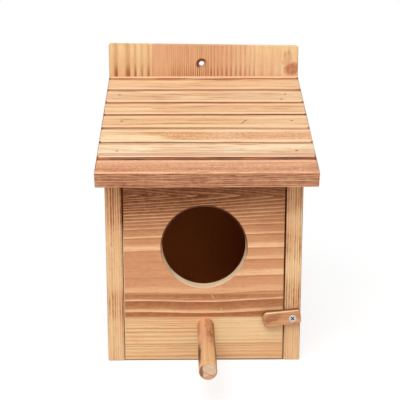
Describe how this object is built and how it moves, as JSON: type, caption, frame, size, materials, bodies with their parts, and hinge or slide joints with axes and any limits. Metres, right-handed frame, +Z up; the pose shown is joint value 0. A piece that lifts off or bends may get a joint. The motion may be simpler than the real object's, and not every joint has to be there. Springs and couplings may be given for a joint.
{
  "type": "nest box",
  "caption": "Hanging wooden nest box with a sloping grooved roof, a large round entrance, a dowel perch and a turn button that holds the front panel.",
  "frame": {"origin": "centre of the overall box at the level of the base", "axes": "+X to the right seen from the front, +Y towards the back board, +Z up; the entrance faces -Y"},
  "size_m": [0.195, 0.264, 0.2862],
  "materials": {
    "back_wood": "scorched and brushed softwood, grain upright",
    "wall_wood": "scorched and brushed softwood, grain upright",
    "floor_wood": "scorched and brushed softwood",
    "roof_wood": "lightly scorched softwood, grain across the roof",
    "panel_wood": "deeply scorched softwood above, pale softwood below",
    "perch_wood": "scorched dowel",
    "button_wood": "scorched softwood",
    "screw_steel": "zinc plated"
  },
  "bodies": {
    "box": {"back_board": "back_wood", "left_wall": "wall_wood", "right_wall": "wall_wood", "floor_board": "floor_wood", "roof_board": "roof_wood", "front_panel": "panel_wood", "perch": "perch_wood", "turn_button_screw": "screw_steel", "left_pivot_screw": "screw_steel", "right_pivot_screw": "screw_steel"},
    "turn_button": {"turn_button": "button_wood"}
  },
  "joints": [
    {"name": "turn_button_turn", "type": "hinge", "parent": "box", "child": "turn_button", "pos_m": [0.08, -0.0313, 0.0435], "axis": [0, 1, 0], "continuous": true}
  ]
}
